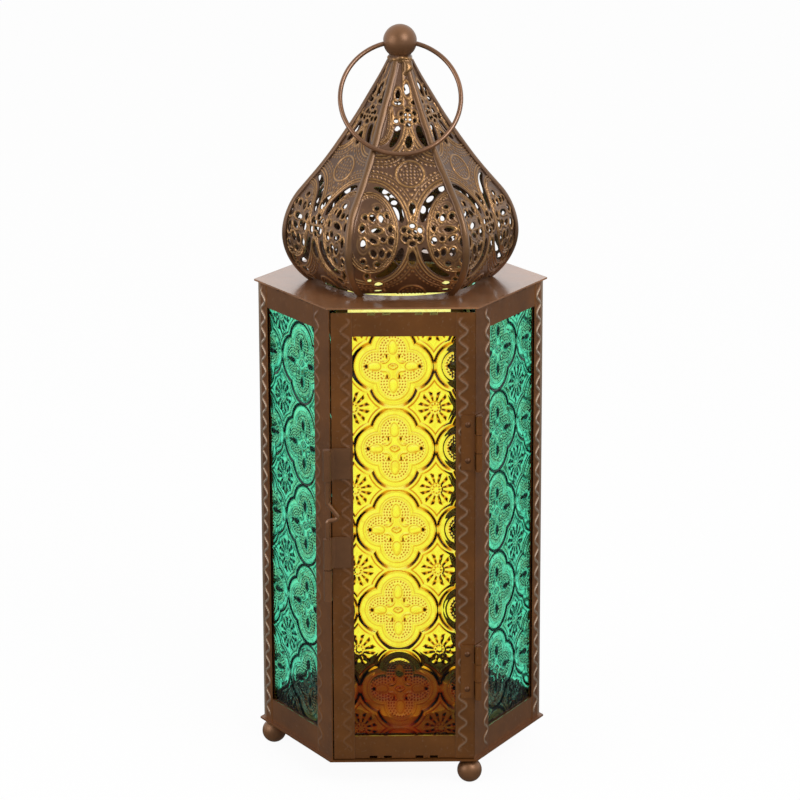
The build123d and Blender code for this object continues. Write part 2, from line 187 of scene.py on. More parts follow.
class Recipe:
    """The node tree of one finish or of the world."""

    def __init__(self, tree):
        self.tree = tree
        tree.nodes.clear()

    def add(self, kind, settings=None, sockets=None, output=0):
        """Add a node: its settings first, then a value or a link for each socket. Gives one of its outputs."""
        node = self.tree.nodes.new(kind)
        for setting, value in (settings or {}).items():
            setattr(node, setting, value)
        for socket, value in (sockets or {}).items():
            if isinstance(value, Value):
                self.tree.links.new(value.output, node.inputs[socket])
            else:
                node.inputs[socket].default_value = value
        return Value(self, node.outputs[output]) if node.outputs else None

    def spread(self, value, low, high):
        """Nothing where a value is low, one where it is high."""
        return self.add("ShaderNodeMapRange", {}, {0: value, 1: low, 2: high})

    def blend(self, share, first, second):
        """A colour between two colours."""
        return self.add("ShaderNodeMix", {"data_type": "RGBA"}, {0: share, 6: first, 7: second}, 2)


def new_finish(name):
    """An empty material and its recipe."""
    material = bpy.data.materials.new(name)
    material.use_nodes = True
    return material, Recipe(material.node_tree)


def rgb(red, green, blue):
    """A colour given as it shows on a screen, 0 to 255, as the linear colour that a shader takes."""
    shown = np.array([red, green, blue]) / 255
    linear = np.where(shown > 0.04045, ((shown + 0.055) / 1.055) ** 2.4, shown / 12.92)
    return (*[float(part) for part in linear], 1.0)


def shade(colour, level):
    """A colour made lighter or darker."""
    return (*[level * part for part in colour[:3]], 1.0)


def bronze(name, brown, gold_and_sheen, roughness, coat, coat_roughness, painted_amber_light=None):
    """Brown lacquer over bronze: a cloudy tone, gold where a ridge is rubbed and, as painted highlight, where it
    would catch the light, fine specks, dented sheet, a clear coat. Painted amber light is another colour, within
    about 40 mm of the frame's origin: the light from the amber panes on the floor inside."""
    material, recipe = new_finish(name)
    place = recipe.add("ShaderNodeTexCoord", output="Object")
    cloud = recipe.add("ShaderNodeTexNoise", {}, {"Vector": place, "Scale": 52.0, "Detail": 5.0, "Roughness": 0.6})
    speck = recipe.add("ShaderNodeTexNoise", {}, {"Vector": place, "Scale": 850.0, "Detail": 3.0})
    dent = recipe.add("ShaderNodeTexNoise", {}, {"Vector": place, "Scale": 130.0, "Detail": 3.0})
    rubbed = recipe.add("ShaderNodeAttribute", {"attribute_name": "rubbed"}, output="Fac")
    tone = recipe.blend(recipe.spread(cloud, 0.3, 0.7), shade(brown, 0.74), shade(brown, 1.22))
    # Painted amber light: orange within about 40 mm of the origin, where light through the amber panes falls.
    if painted_amber_light:
        distance = recipe.add("ShaderNodeVectorMath", {"operation": "LENGTH"}, {0: place}, "Value")
        tone = recipe.blend(recipe.spread(distance, 0.042, 0.038), tone, painted_amber_light)
    # Gold where ridges are rubbed, and painted highlight where they catch the light; fine specks of wear.
    wear_and_sheen = (rubbed * (cloud * 0.8 + 0.6) + recipe.spread(speck, 0.60, 0.80) * 0.08).least(1.0)
    colour = recipe.blend(wear_and_sheen, tone, gold_and_sheen)
    gloss = cloud * 0.16 + speck * 0.08 + (roughness - 0.12) - wear_and_sheen * 0.1
    bump = recipe.add("ShaderNodeBump", {}, {"Height": dent, "Strength": 0.14, "Distance": 0.0008})
    shader = recipe.add("ShaderNodeBsdfPrincipled", {}, {
        "Base Color": colour, "Roughness": gloss, "Metallic": wear_and_sheen * 0.4 + 0.6, "Normal": bump,
        "Coat Weight": coat, "Coat Roughness": coat_roughness})
    recipe.add("ShaderNodeOutputMaterial", {}, {"Surface": shader})
    return material


def pressed_glass(name, clear, painted_highlight, edge, painted_deep_shade):
    """Coloured pressed glass: a painted highlight, paler, over the field of pits, and painted shade along the lines
    of the relief, first the edge's colour, then the deep one. Soft clouds and faint ripples. Where a pane is covered,
    it is painted the strips' brown, as painted shade."""
    material, recipe = new_finish(name)
    place = recipe.add("ShaderNodeTexCoord", output="Object")
    cloud = recipe.add("ShaderNodeTexNoise", {}, {"Vector": place, "Scale": 70.0, "Detail": 2.0})
    ripple = recipe.add("ShaderNodeTexNoise", {}, {"Vector": place, "Scale": 260.0, "Detail": 1.0})
    line = recipe.add("ShaderNodeAttribute", {"attribute_name": "line"}, output="Fac")
    field = recipe.add("ShaderNodeAttribute", {"attribute_name": "field"}, output="Fac")
    plain = recipe.blend(field * 0.9, clear, painted_highlight)
    lined = recipe.blend(recipe.spread(line + recipe.spread(cloud, 0.4, 0.8) * 0.02, 0.0, 0.5), plain, edge)
    colour = recipe.blend(recipe.spread(line, 0.45, 1.0), lined, painted_deep_shade)
    bump = recipe.add("ShaderNodeBump", {}, {"Height": ripple, "Strength": 0.08, "Distance": 0.0005})
    shader = recipe.add("ShaderNodeBsdfPrincipled", {}, {
        "Base Color": colour, "Roughness": 0.02, "Transmission Weight": 1.0, "IOR": 1.36, "Normal": bump})
    # Painted shade: a covered pane is an opaque brown like the strips, not glass.
    covered = recipe.add("ShaderNodeAttribute", {"attribute_name": "covered"}, output="Fac")
    dark_brown, light_brown = rgb(72, 43, 18), rgb(104, 63, 27)
    tone = recipe.blend(recipe.spread(cloud, 0.3, 0.7), dark_brown, light_brown)
    strip = recipe.add("ShaderNodeBsdfPrincipled", {}, {"Base Color": tone, "Roughness": 0.45, "Metallic": 0.6})
    mixed = recipe.add("ShaderNodeMixShader", {}, {0: covered, 1: shader, 2: strip})
    recipe.add("ShaderNodeOutputMaterial", {}, {"Surface": mixed})
    return material


# Its gold is near white: rubbed gold, and the painted white highlight on the waves and edges of the strips.
sheet_bronze = bronze("bronze_sheet", rgb(118, 70, 22), rgb(238, 214, 186), 0.36, 0.85, 0.12)
# Painted light: a lighter copy of the bronze for the top plate, standing in for light falling on it from above.
lit_plate_bronze = bronze("bronze_plate", rgb(158, 108, 70), rgb(238, 214, 186), 0.42, 1.0, 0.16)
# Floor inside and candle cup: its orange heart is painted amber light from the amber panes.
floor_bronze = bronze("bronze_floor", rgb(114, 68, 26), rgb(176, 124, 66), 0.48, 0.25, 0.2, rgb(220, 102, 32))
# Darker and rougher for the rivets: the darker brown is painted shade of their dimples.
dull_bronze = bronze("bronze_dull", rgb(92, 56, 26), rgb(150, 104, 58), 0.52, 0.2, 0.35)
dome_bronze = bronze("bronze_dome", rgb(89, 59, 36), rgb(190, 143, 86), 0.38, 0.35, 0.2)
ball_bronze = bronze("bronze_ball", rgb(120, 80, 46), rgb(190, 140, 80), 0.44, 0.45, 0.4)
wire_bronze = bronze("bronze_wire", rgb(120, 80, 48), rgb(186, 134, 72), 0.32, 0.85, 0.15)
# Glass colours: clear, the painted highlight, then the painted shade of the lines, first at their edges, then deep.
amber = pressed_glass("amber_glass", (1.0, 1.0, 0.20, 1.0), (1.0, 1.0, 0.8, 1.0), (0.66, 0.14, 0.002, 1.0),
                      (0.0004, 0.0001, 0.0001, 1.0))
pale_amber = pressed_glass("pale_amber_glass", (1.0, 1.0, 0.30, 1.0), (1.0, 1.0, 0.5, 1.0), (0.90, 0.66, 0.14, 1.0),
                           (0.004, 0.002, 0.0005, 1.0))
green = pressed_glass("green_glass", (0.36, 0.98, 0.76, 1.0), (1.0, 1.0, 0.62, 1.0), (0.006, 0.12, 0.09, 1.0),
                      (0.0002, 0.0008, 0.0008, 1.0))


# Dome
def ogee(heights):
    """Distance of a gore's middle from the axis: skirt arc, shoulder arc, then the hollow arc of the flank,
    which leaves the shoulder along its tangent and passes through the spire's tip."""
    normal = np.array([math.cos(shoulder_turn), math.sin(shoulder_turn)])
    shoulder = np.array([belly_apothem - shoulder_radius, belly_height])
    joint = shoulder + normal * shoulder_radius
    chord = joint - np.array([spire_apothem, spire_height])
    flank_radius = chord @ chord / (-2 * normal @ chord)
    flank = joint + normal * flank_radius
    drop = heights - belly_height
    skirt_part = belly_apothem - skirt_radius + np.sqrt(np.clip(skirt_radius**2 - drop**2, 0, None))
    shoulder_part = shoulder[0] + np.sqrt(np.clip(shoulder_radius**2 - drop**2, 0, None))
    flank_part = flank[0] - np.sqrt(np.clip(flank_radius**2 - (heights - flank[1]) ** 2, 0, None))
    return np.select([heights < belly_height, heights < joint[1]], [skirt_part, shoulder_part], flank_part)


class OgeeLine:
    """The middle line of a gore by its length from the foot: height, distance from the axis and outward normal."""

    def __init__(self, low, high):
        self.heights = np.linspace(low, high, 4000)
        self.reaches = ogee(self.heights)
        steps = np.hypot(np.diff(self.heights), np.diff(self.reaches))
        self.lengths = np.concatenate([[0], np.cumsum(steps)])

    def at(self, length):
        height = np.interp(length, self.lengths, self.heights)
        reach = np.interp(length, self.lengths, self.reaches)
        rise = np.interp(length, self.lengths, np.gradient(self.heights, self.lengths))
        lean = np.interp(length, self.lengths, np.gradient(self.reaches, self.lengths))
        return height, reach, np.stack([rise, -lean], -1)

    def length_at(self, height):
        return float(np.interp(height, self.heights, self.lengths))


gore_line = OgeeLine(gore_start, gore_top)
gore_step = 0.30
gore_sheet = 0.55
emboss = 0.34
low_rosette = gore_line.length_at(22.8)
high_rosette = gore_line.length_at(58.8)
medallion = gore_line.length_at(41.3)

# Holes of a gore, right half: across, along from the low rosette, half width, half height and tilt in degrees
LACE = [(11.6, 9.4, 0.85, 0.85, 0), (15.8, 6.0, 0.75, 0.8, 0), (13.4, 5.9, 0.9, 1.15, -20),
        (10.5, 5.7, 0.8, 1.3, -25), (8.4, 6.2, 0.6, 0.9, -15), (16.8, 2.2, 0.8, 1.2, 10), (12.2, 1.6, 1.65, 0.8, 0),
        (7.2, 1.9, 0.7, 1.0, 0), (16.8, -3.2, 0.85, 1.5, 0), (13.2, -1.9, 1.35, 0.75, 30), (9.9, -1.5, 0.8, 0.8, 0),
        (7.3, -2.2, 0.95, 1.2, 0), (13.4, -6.4, 0.95, 1.3, -15), (10.5, -6.4, 0.85, 1.2, 0),
        (8.0, -6.8, 0.75, 1.1, 15), (11.9, -10.2, 0.9, 0.85, 0), (16.9, -9.4, 0.7, 0.8, 0),
        (15.8, -11.6, 0.6, 0.55, 0)]
# The same, where along is the height above the top plate, and then from the high rosette
FOOT_HOLES = [(15.4, 8.5, 0.7, 1.0, 0), (14.4, 6.5, 0.8, 0.75, 0), (11.5, 5.0, 1.4, 1.05, -10),
              (11.5, 2.2, 1.5, 0.75, 0)]
SPIRE_HOLES = [(3.2, 8.0, 0.8, 1.7, 5), (2.9, 5.2, 1.1, 0.7, 0), (4.2, -1.2, 0.75, 0.8, 0)]
# Drops on the middle line, above and below a rosette: along, half width and half height
TIPS = [(low_rosette + 8.9, 1.05, 2.1), (low_rosette - 8.2, 1.2, 2.3), (high_rosette - 8.8, 1.15, 2.2),
        (high_rosette + 9.6, 0.9, 2.1)]
# Rosettes by along and share of size
ROSETTES = [(low_rosette, 1.0), (high_rosette, 0.82)]
# A rosette's two rings of holes: count, first angle, the ring's half sizes, a hole's, and the turn from hole to hole
ROSETTE_RINGS = [(6, 0, 3.05, 3.05, 0.95, 0.78, -60.0), (4, 45, 1.45, 1.4, 0.62, 0.55, 0.0)]
# Raised lines round a lace panel: distance outside its oval line, half width, height, and whether it is of beads
PANEL_LINES = [(2.05, 0.45, 1.0, False), (3.05, 0.45, 1.0, False), (4.2, 0.48, 0.9, True), (5.1, 0.34, 0.7, False),
               (6.1, 0.48, 0.9, True), (-2.0, 0.40, 1.0, False), (-2.8, 0.38, 0.9, False), (-3.6, 0.42, 0.9, True)]
# Share of a hole's size on the front sides, where the gores also end at their CAD foot, and at the back
HOLE_SIZE = {0: 1.0, 1: 1.18, 5: 1.18}
BACK_HOLE_SIZE = 1.3


def oval(u, s, across, along, half_width, half_height, tilt):
    """Distance, near enough, outside an oval hole: the scaled radius less one, times its smaller half size. Also the
    angle round the hole."""
    c, d = math.cos(math.radians(tilt)), math.sin(math.radians(tilt))
    p = (u - across) * c + (s - along) * d
    q = (s - along) * c - (u - across) * d
    return (np.hypot(p / half_width, q / half_height) - 1) * min(half_width, half_height), np.arctan2(q, p)


def from_panel(u, s, along, across, half_width, half_height):
    """Distance outside the oval line of a lace panel's slits: the scaled radius less one, over that radius's slope.
    Also the angle round the panel, from nothing beside the rosette."""
    p = (np.abs(u) - across) / half_width
    q = (s - along) / half_height
    radius = np.maximum(np.hypot(p, q), 0.01)
    away = (radius - 1) * radius / np.maximum(np.hypot(p / half_width, q / half_height), 0.001)
    return away, np.arctan2(np.abs(q), -p)


def crescent(away, turn, start, stop, half, thinning):
    """Distance outside a slit that follows a panel's oval line from one angle to another with blunt ends, where the
    far end is thinner."""
    x = (np.degrees(turn) - (start + stop) / 2) / (stop - start) * 2
    return np.abs(away) - half * (1 - thinning * (x + 1) / 2) * np.sqrt(np.clip(1 - x**4, 0, 1))


def gore_pattern(u, s, jitter, size, rng):
    """Openings and relief of a gore on its flat sheet, across u and along s. Two oval lace panels stand beside a
    rosette, with crescent slits round them, one of them bridged. Ridges and rows of beads follow the ovals, and a
    medallion, a half one and a smaller rosette fill the middle. Gives the distance from the nearest opening, below
    nothing inside one, and the height of the relief."""
    above = s > low_rosette
    low, low_turn = from_panel(u, s, low_rosette, 14.0, 11.0, np.where(above, 17.2, 15.3))
    high, high_turn = from_panel(u, s, high_rosette, 9.5, 6.5, 11.5)
    upper_slit = crescent(low, low_turn, 14, 82, 1.55, 0.35)
    lower_slit = crescent(low, low_turn, 17, 83, 1.4, 0.12)
    opening = np.where(above, upper_slit, lower_slit)
    bridge = np.abs(np.degrees(low_turn) - 40) * 0.23 - 0.2
    opening = np.where((u < 0) & ~above, np.maximum(opening, -bridge), opening)
    lower_arm = crescent(high, high_turn, 15, 64, 1.2, 0.2)
    opening = np.minimum(opening, np.where(s < high_rosette, lower_arm, FAR))

    curls = [(hand * a, low_rosette + b, w, h, hand * t) for a, b, w, h, t in LACE for hand in (-1, 1)]
    rings = [(hand * a, gore_line.length_at(b), w, h, hand * t) for a, b, w, h, t in FOOT_HOLES for hand in (-1, 1)]
    rings += [(hand * a, high_rosette + b, w, h, hand * t) for a, b, w, h, t in SPIRE_HOLES for hand in (-1, 1)]
    rings += [(0.0, along, w, h, 0.0) for along, w, h in TIPS]
    for middle, part in ROSETTES:
        for count, start, wide, tall, half_width, half_height, tilt in ROSETTE_RINGS:
            for k in range(count):
                a = math.radians(start + 360 / count * k)
                rings.append((wide * part * math.sin(a), middle + tall * part * math.cos(a), half_width * part,
                              half_height * part, tilt * k))
    relief = np.zeros(u.shape)
    for holes, curled in ((curls, True), (rings, False)):
        for across, along, half_width, half_height, tilt in holes:
            fat = size + 0.10 * jitter * rng.standard_normal()
            drift = 0.2 * jitter * rng.standard_normal(2)
            turn = tilt + 9 * jitter * rng.standard_normal()
            lip, angle = oval(u, s, across + drift[0], along + drift[1], half_width * fat, half_height * fat, turn)
            opening = np.minimum(opening, lip)
            part = 0.25 + 0.75 * step_up(np.cos(angle - rng.uniform(0, 2 * math.pi)), -0.4, 0.3) if curled else 0.8
            relief = np.maximum(relief, part * ridge(lip - 0.42, 0.40))
            if curled:
                relief = np.maximum(relief, 0.6 * (1 - part) * ridge(lip - 1.15, 0.36))

    away = np.minimum(low, high)
    run = np.where(low < high, low_turn * 13.2, high_turn * 9.0)
    beads = np.cos(np.pi * run / 1.3) ** 2
    lines = np.zeros(u.shape)
    for offset, width, part, beaded in PANEL_LINES:
        lines += part * ridge(away - offset, width) * (beads if beaded else 1.0)
    for middle, radius in ((low_rosette, 4.1), (high_rosette, 3.3)):
        lines *= step_up(np.hypot(u, s - middle), radius, radius + 0.5)
    for middle, radius in ((medallion, 4.75), (gore_line.length_at(gore_foot), 4.6)):
        out = np.hypot(u, s - middle)
        lines *= step_up(out, radius + 0.5, radius + 1.0)
        lines += ridge(out - radius, 0.55)
        round_beads = np.cos(6 * np.arctan2(u, s - middle)) ** 2
        lines += 0.85 * ridge(out - radius + 1.25, 0.5) * round_beads
        grid_beads = np.cos(np.pi * u / 1.25) ** 2 * np.cos(np.pi * (s - middle) / 1.25) ** 2
        lines += 0.85 * grid_beads * step_up(radius - 1.9 - out, 0.0, 0.3)
    spire = step_up(s - high_rosette, 3.4, 4.4)
    stem = np.abs(np.abs(u) - 1.55 + 0.03 * (s - high_rosette))
    lines = lines * (1 - spire) + spire * 0.7 * ridge(stem, 0.4)
    return opening, np.clip(np.maximum(relief, lines), 0, 1)


def pierced(points, triangles, field, *others):
    """Cut a triangle sheet along field = 0 and keep the part where it is positive. A crossed edge gets one new
    point, shared by its two triangles. Any other point values are carried along."""
    field = np.where(np.abs(field) < 0.02, 0.02, field)
    kept = field > 0
    count = kept[triangles].sum(1)
    crossed = triangles[(count == 1) | (count == 2)]
    lone = np.where(count[(count == 1) | (count == 2)] == 1, 1, 0)
    first = np.argmax(kept[crossed] == lone[:, None], 1)
    order = (first[:, None] + np.arange(3)) % 3
    a, b, c = np.take_along_axis(crossed, order, 1).T
    edges = np.sort(np.concatenate([np.stack([a, b], 1), np.stack([a, c], 1)]), 1)
    edges, where = np.unique(edges, axis=0, return_inverse=True)
    where = where.ravel() + len(points)
    ab, ac = where[: len(a)], where[len(a):]
    share = field[edges[:, 0]] / (field[edges[:, 0]] - field[edges[:, 1]])

    def carried(values):
        weight = share.reshape(-1, *[1] * (values.ndim - 1))
        return np.concatenate([values, values[edges[:, 0]] * (1 - weight) + values[edges[:, 1]] * weight])

    one, two = lone == 1, lone == 0
    faces = np.concatenate([
        triangles[count == 3],
        np.stack([a, ab, ac], 1)[one],
        np.stack([ab, b, c], 1)[two],
        np.stack([ab, c, ac], 1)[two]])
    used, faces = np.unique(faces, return_inverse=True)
    return carried(points)[used], faces.reshape(-1, 3), [carried(values)[used] for values in others]


def thickened(points, inner, triangles):
    """A closed sheet from its outer and inner points: both faces, and a rim along each edge that has one triangle."""
    total = len(points)
    edges = np.concatenate([triangles[:, [0, 1]], triangles[:, [1, 2]], triangles[:, [2, 0]]])
    key = edges[:, 0] * total + edges[:, 1]
    back = edges[:, 1] * total + edges[:, 0]
    rim = edges[~np.isin(key, back)]
    walls = np.stack([rim[:, 1], rim[:, 0], rim[:, 0] + total, rim[:, 1] + total], 1)
    return np.concatenate([points, inner]), [triangles, triangles[:, ::-1] + total, walls]


def make_gore(side):
    """A gore: the flat pattern carried along the ogee, pushed out by its relief, cut at its openings and seams."""
    rng = np.random.default_rng(40 + side)
    length = gore_line.lengths[-1]
    wide = belly_apothem * SLOPE
    s, u = np.meshgrid(np.linspace(0, length, int(length / gore_step)),
                       np.linspace(-wide, wide, int(2 * wide / gore_step)), indexing="ij")
    height, reach, normal = gore_line.at(s)
    half = (reach - seam_gap) * SLOPE
    shift = 1.8 if side == 0 else 0.5 * rng.standard_normal()
    jitter = 0.5 if side == 0 else 1.0
    opening, relief = gore_pattern(u - shift, s, jitter, HOLE_SIZE.get(side, BACK_HOLE_SIZE), rng)
    edge = half - np.abs(u)
    field = np.minimum(edge, np.where(edge < 0.9 * rib_half_width, 1.0, opening))
    if side in HOLE_SIZE:
        field = np.minimum(field, height - gore_foot)
    push = emboss * (relief - 1.0) * step_up(edge, 1.0, 1.6) - 0.1 * step_up(1.4 - edge, 0, 1)
    out = reach + push * normal[..., 0]
    up = roof + height + push * normal[..., 1]
    points = np.stack([out, u, up], -1).reshape(-1, 3)
    inside = points - gore_sheet * np.stack([normal[..., 0], 0 * u, normal[..., 1]], -1).reshape(-1, 3)
    quads = grid_quads(*s.shape)[:, ::-1]
    triangles = np.concatenate([quads[:, [0, 1, 2]], quads[:, [0, 2, 3]]])
    points, triangles, (inside, rubbed) = pierced(points, triangles, field.ravel(), inside, relief.ravel())
    points, polygons = thickened(points, inside, triangles)
    # Paler on the relief's ridges, partly rubbed gold, partly painted highlight; none on the inside.
    rubbed = np.concatenate([0.8 * rubbed**1.3, 0 * rubbed])
    name = f"gore_{SIDES[side]}"
    put(f"pierced_{name}", turned(points, 60 * side - 90 + dome_turn), polygons, "frame", dome_bronze,
               "bronze_dome", [name], rubbed=rubbed)


def make_rib(corner):
    """A strip bent over a seam and soldered on by hand. Along it runs the seam's ogee. Across it the outside falls as
    two faces that meet there do, rounded off, and the inside lies on the gores. It thins out towards the tip."""
    heights = np.linspace(0.0, gore_top, 260)
    reach = ogee(heights) / math.cos(math.radians(30))
    lean, rise = np.gradient(reach, heights), np.ones(len(heights))
    out, up = rise / np.hypot(lean, rise), -lean / np.hypot(lean, rise)
    thin = 1 - 0.8 * step_up(heights, 60, gore_top)
    width = rib_half_width * (1 + 0.05 * np.sin(0.9 * heights + corner)) * (0.75 + 0.25 * thin)
    share = np.linspace(-1, 1, 15)
    w = share[None, :] * width[:, None]
    crown = (rib_crown + 0.05 * np.sin(0.37 * heights + 2 * corner)) * thin
    top = crown[:, None] - SLOPE * (np.sqrt(w**2 + 0.09) - 0.3) - 0.26 * thin[:, None] * share**6
    under = -SLOPE * np.abs(w[:, ::-2]) + 0.05
    sideways = np.concatenate([w, w[:, ::-2]], 1) + 0.1 * np.sin(0.21 * heights + corner)[:, None]
    lift = np.concatenate([top, under], 1)
    points = np.stack([reach[:, None] + lift * out[:, None], sideways,
                       roof + heights[:, None] + lift * up[:, None]], -1)
    rows, columns = lift.shape
    caps = np.arange(columns)
    polygons = [grid_quads(rows, columns, close_columns=True), caps[None, ::-1], caps[None, :] + (rows - 1) * columns]
    # Painted sheen: paler along the crown.
    rubbed = np.concatenate([0.15 * (1 - share[None, :] ** 4) + 0 * w, 0 * under], 1)
    node = f"rib_{CORNERS[corner]}"
    put(f"soldered_{node}", turned(points.reshape(-1, 3), 60 * corner - 60 + dome_turn), polygons, "frame",
               dome_bronze, "bronze_sheet", [node], rubbed=rubbed)


def make_neck():
    """The solder under the ball: a ring whose outer radius falls from the gores' tips to the ball and swells in
    lumps, each a bell curve round its own angle and height, with a plain wall inside."""
    low, high = box_mm("finial_neck")
    turn, rise = np.meshgrid(np.radians(np.arange(0, 360, 4)), np.linspace(0, 1, 19), indexing="ij")
    foot = high[0] - 0.75
    radius = foot - 0.7 * rise + 0.25 * np.sin(np.pi * rise)
    for angle, place, size in ((-60, 0.55, 0.9), (-88, 0.75, 0.5), (-33, 0.3, 0.7), (20, 0.6, 0.3), (75, 0.4, 0.4),
                               (130, 0.3, 0.3), (190, 0.6, 0.4), (240, 0.4, 0.3)):
        gap = np.angle(np.exp(1j * (turn - math.radians(angle))))
        radius = radius + size * np.exp(-((gap / 0.26) ** 2) - ((rise - place) / 0.3) ** 2)
    z = low[2] - 0.6 + (high[2] - low[2] + 1.0) * rise
    outer = np.stack([radius * np.cos(turn), radius * np.sin(turn), z], -1)
    inner = np.stack([neck_bore * np.cos(turn), neck_bore * np.sin(turn), z], -1)[:, ::-1]
    points = np.concatenate([outer, inner], 1)
    rows, columns = points.shape[:2]
    quads = grid_quads(rows + 1, columns, close_columns=True) % (rows * columns)
    rubbed = np.concatenate([step_up(radius, foot - 0.3, foot + 0.5), 0 * radius], 1)
    put("solder_neck", points.reshape(-1, 3), [quads], "frame", dome_bronze, "bronze_sheet", ["finial_neck"],
               rubbed=0.6 * rubbed)


def make_solder_run():
    """Solder that has run down the seam right of the door: an egg along the seam, its radius swelled in lumps by a
    product of waves."""
    seam = math.radians(dome_turn - 60)
    turn, rise = np.meshgrid(np.radians(np.arange(0, 360, 9)), np.radians(np.linspace(-88, 88, 41)), indexing="ij")
    lump = 1 + 0.16 * np.sin(5 * rise + 0.8) * np.cos(2 * turn + 0.5) + 0.07 * np.sin(9 * rise) * np.sin(3 * turn)
    out = 4.5 + 1.7 * lump * np.cos(rise) * np.cos(turn)
    across = 2.0 * lump * np.cos(rise) * np.sin(turn) + 0.25 * np.sin(4 * rise)
    along = 3.9 * np.sin(rise)
    out = out - 0.22 * along
    place = roof + gore_top - 2.6 + along
    points = np.stack([out * math.cos(seam) - across * math.sin(seam), out * math.sin(seam) + across * math.cos(seam),
                       place], -1)
    rows, columns = rise.shape
    quads = grid_quads(rows + 1, columns) % (rows * columns)
    ends = [np.arange(rows)[None, ::-1] * columns, np.arange(rows)[None, :] * columns + columns - 1]
    put("solder_run", points.reshape(-1, 3), [quads, *ends], "frame", dome_bronze, "bronze_sheet",
               rubbed=0.25 + 0.4 * step_up(lump, 1.0, 1.2))


for side in range(6):
    make_gore(side)
    make_rib(side)
make_neck()
make_solder_run()


# Posts and stiles
def stations(length):
    """Distances from a strip's free edge, close together over its wave."""
    fine = np.arange(0.0, min(length, wave_zone) - 0.1, 0.2)
    return np.concatenate([fine, np.linspace(fine[-1] + 0.25, length, 2 + max(0, int(length - 5)))])


def bent_section(legs, bend):
    """Outer line of a bent strip in plan, from the free end of its first leg, past the front side's right corner, to
    the end of its second leg: points, outward normals and the distance from the nearest free end. A leg of no length
    is left out."""
    corner = np.array([corner_radius / 2, -apothem])
    ways = np.array([[-1.0, 0.0], [math.cos(math.radians(60)), math.sin(math.radians(60))]])
    outs = np.array([[0.0, -1.0], [math.sin(math.radians(60)), -math.cos(math.radians(60))]])
    points, normals, ends = [], [], []
    for leg in (0, 1):
        if not legs[leg]:
            continue
        single = not legs[1 - leg]
        reach = legs[leg] - stations(legs[leg] - (0.0 if single else bend * SLOPE))
        line = corner + reach[:, None] * ways[leg]
        order = slice(None) if leg == 0 else slice(None, None, -1)
        points.append(line[order])
        normals.append(np.tile(outs[leg], (len(reach), 1)))
        ends.append((legs[leg] - reach)[order])
        if leg == 0 and not single:
            turn = np.radians(np.linspace(-90, -30, 7)[1:-1])
            round_ = np.stack([np.cos(turn), np.sin(turn)], 1)
            middle = corner - bend / math.cos(math.radians(30)) * np.array([math.cos(math.radians(-60)),
                                                                            math.sin(math.radians(-60))])
            points.append(middle + bend * round_)
            normals.append(round_)
            ends.append(np.full(len(turn), FAR))
    return np.concatenate(points), np.concatenate(normals), np.concatenate(ends)


def waved_strip(name, plan, normals, from_end, z0, z1, phase, turn, body, node, wear_and_sheen):
    """A strip with a wavy ridge beaten into it. The outer line of the plan is carried up from z0 to z1 and pushed out
    by the ridge, the inner one lies a sheet behind it, and both ends are closed. The more wear and sheen a strip is
    given, the higher its ridge and the paler, partly rubbed gold and partly painted highlight; past one half, the
    band by its corner gets painted highlight as well."""
    row_step = 0.48
    rows = int((z1 - z0) / row_step)
    z = np.linspace(z0, z1, rows)[:, None]
    wave = from_end[None, :] - wave_from_edge - wave_swing * np.sin(2 * np.pi * (z - phase) / wave_length)
    bevel = np.hypot(1, 2 * np.pi * wave_swing / wave_length * np.cos(2 * np.pi * (z - phase) / wave_length))
    fade = step_up(z - z0, 1.5, 3.5) * step_up(z1 - z, 1.5, 3.5)
    raised = ridge(wave / bevel, wave_width) * fade
    edge = edge_fall * ridge(np.minimum(from_end[None, :], 5), 0.5) + 0 * z
    push = wave_height * min(1.0, 0.45 + wear_and_sheen) * (raised - 1.0) - edge
    outer = np.stack([plan[None, :, 0] + normals[None, :, 0] * push, plan[None, :, 1] + normals[None, :, 1] * push,
                      z + 0 * push], -1)
    few = np.unique(np.linspace(0, len(plan) - 1, 9).round().astype(int))[::-1]
    back = plan[few] - normals[few] * sheet
    inner = np.stack([np.broadcast_to(back[:, 0], (rows, len(few))), np.broadcast_to(back[:, 1], (rows, len(few))),
                      np.broadcast_to(z, (rows, len(few)))], -1)
    points = np.concatenate([outer, inner], 1)
    columns = points.shape[1]
    # Painted highlight on the band by the corner; the wave's ridge and the free edge are paler, partly rubbed, partly
    # painted highlight.
    corner = 0.45 * max(0.0, 2 * wear_and_sheen - 1) * step_up(from_end[None, :], 3.9, 5.2)
    rubbed = np.concatenate([wear_and_sheen * raised**2 + 0.1 * edge + corner, np.zeros((rows, len(few)))], 1)
    quads = grid_quads(rows, columns, close_columns=True)
    caps = np.arange(columns)
    polygons = [quads, caps[None, ::-1], caps[None, :] + (rows - 1) * columns]
    put(name, turned(points.reshape(-1, 3), turn), polygons, body, sheet_bronze, "bronze_sheet", [node],
               rubbed=rubbed)


post_flange = 6.3
front_post_flange = 10.5
post_bend = 1.1
post_legs = {"front_right": (0, front_post_flange), "front_left": (front_post_flange, 0)}
# Per post: how high and how pale its wave is, partly rubbed gold, partly painted highlight.
post_wear_and_sheen = {"front_right": 0.5, "front_left": 0.1}
for corner, name in enumerate(CORNERS):
    plan, normals, from_end = bent_section(post_legs.get(name, (post_flange, post_flange)), post_bend)
    waved_strip(f"waved_post_{name}", plan, normals, from_end, base_top, ceiling, 1.7 * corner, 60 * corner, "frame",
                f"post_{name}", post_wear_and_sheen.get(name, 1.0))


